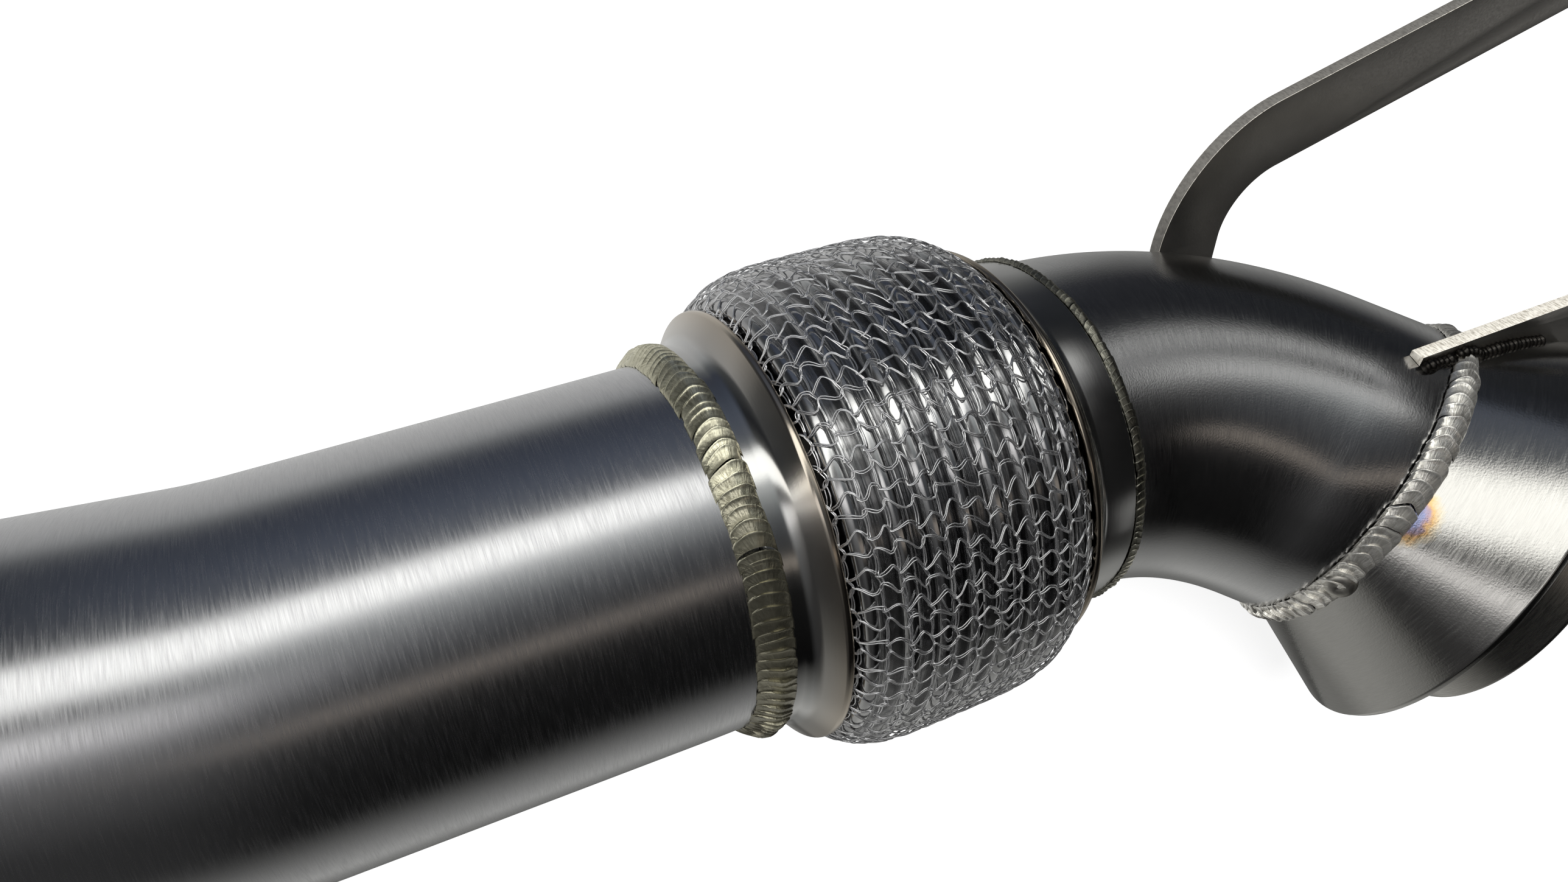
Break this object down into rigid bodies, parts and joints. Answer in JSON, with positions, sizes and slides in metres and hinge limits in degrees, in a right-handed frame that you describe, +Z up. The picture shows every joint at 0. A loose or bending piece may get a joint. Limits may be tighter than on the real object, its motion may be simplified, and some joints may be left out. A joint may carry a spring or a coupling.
{
  "type": "turbo downpipe",
  "caption": "Stainless turbo downpipe with a flared turbo end, an elbow, a braided flex coupling, an outlet tube and flat-bar support straps.",
  "frame": {"origin": "middle of the bounding box's floor, on the surface that the pipe lies on", "axes": "+X along the flex coupling from the outlet tube to the turbo end, +Y away from the side that the elbow turns to, +Z up"},
  "size_m": [0.5534, 0.1538, 0.1423],
  "materials": {
    "satin_stainless": "fine brushed satin",
    "pressed_stainless": "smooth pressed, lightly polished",
    "bright_stainless": "bright rolled",
    "knitted_wire": "bright knitted wire",
    "weld_bead": "rippled weld, straw tinted",
    "machined_stainless": "turned",
    "flat_bar": "hot rolled bar, dull"
  },
  "bodies": {
    "root": {"outlet_tube": "satin_stainless", "outlet_weld": "weld_bead", "flex_outlet_cap": "pressed_stainless", "flex_outlet_ring": "pressed_stainless", "flex_liner": "bright_stainless", "flex_bellows": "bright_stainless", "flex_mesh": "knitted_wire", "flex_inlet_ring": "pressed_stainless", "flex_inlet_cap": "pressed_stainless", "inlet_seam_weld": "weld_bead", "elbow": "satin_stainless", "cone_weld": "weld_bead", "turbo_cone": "satin_stainless", "turbo_flange": "machined_stainless", "turbo_flange_weld": "weld_bead", "rear_strap": "flat_bar", "rear_strap_weld_upper": "weld_bead", "rear_strap_weld_lower": "weld_bead", "front_strap": "flat_bar", "front_strap_weld_near": "weld_bead", "front_strap_weld_far": "weld_bead"}
  },
  "joints": []
}
